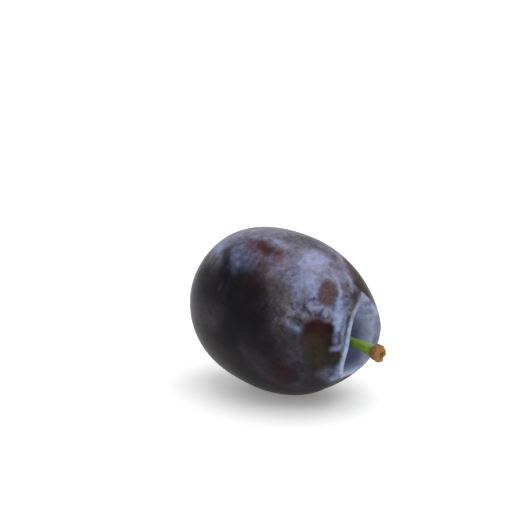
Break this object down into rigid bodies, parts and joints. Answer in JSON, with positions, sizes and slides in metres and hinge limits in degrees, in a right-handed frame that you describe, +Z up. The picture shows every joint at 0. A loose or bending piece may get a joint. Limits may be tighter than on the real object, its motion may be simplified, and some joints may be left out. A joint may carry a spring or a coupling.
{
  "type": "plum",
  "caption": "Whole dark blue plum lying on its side, long and rounded, with a deep hollow at the stem end, a faint seam and a short green stem with a woody end.",
  "frame": {"origin": "on the table, under the middle of the whole part", "axes": "+Z up; +X along the plum's length, towards the stem end"},
  "size_m": [0.0538, 0.037, 0.0404],
  "materials": {
    "skin": "dark purple-blue skin, glossy where rubbed, with a patchy pale blue wax bloom",
    "stem": "green bark, satin, with a rough brown woody end"
  },
  "bodies": {
    "root": {"fruit": "skin", "stem": "stem"}
  },
  "joints": []
}
